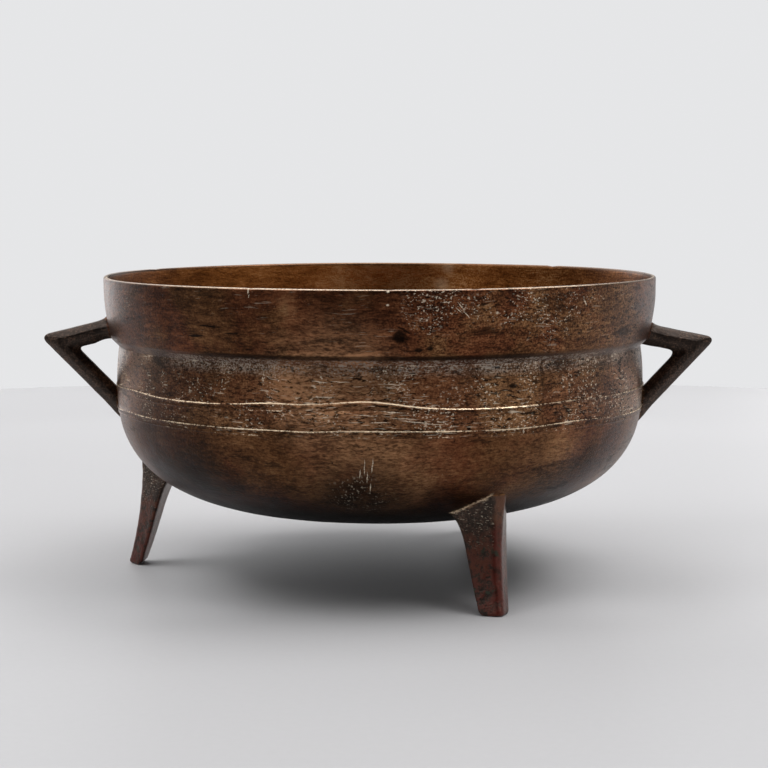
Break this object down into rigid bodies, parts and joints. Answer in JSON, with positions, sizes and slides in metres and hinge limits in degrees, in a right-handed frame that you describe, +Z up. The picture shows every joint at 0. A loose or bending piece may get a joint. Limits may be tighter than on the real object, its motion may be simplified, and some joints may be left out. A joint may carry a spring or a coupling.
{
  "type": "cooking pot",
  "caption": "Round-bellied cast bronze cooking pot with a tall flared neck, raised ribs, angular side handles and short ridged legs that hold it over a fire.",
  "frame": {"origin": "on the ground under the axis of the bowl", "axes": "+Z up along the axis of the bowl, +X towards the right-hand handle, -Y towards the front, where one leg stands a little to the right"},
  "size_m": [0.3253, 0.27, 0.1464],
  "materials": {
    "cast_bronze": "dark brown cast bronze, worn golden on the ribs and lip, soot-black in places, pitted and scratched, reddish on the lower legs"
  },
  "bodies": {
    "root": {"cooking_pot": "cast_bronze"}
  },
  "joints": []
}
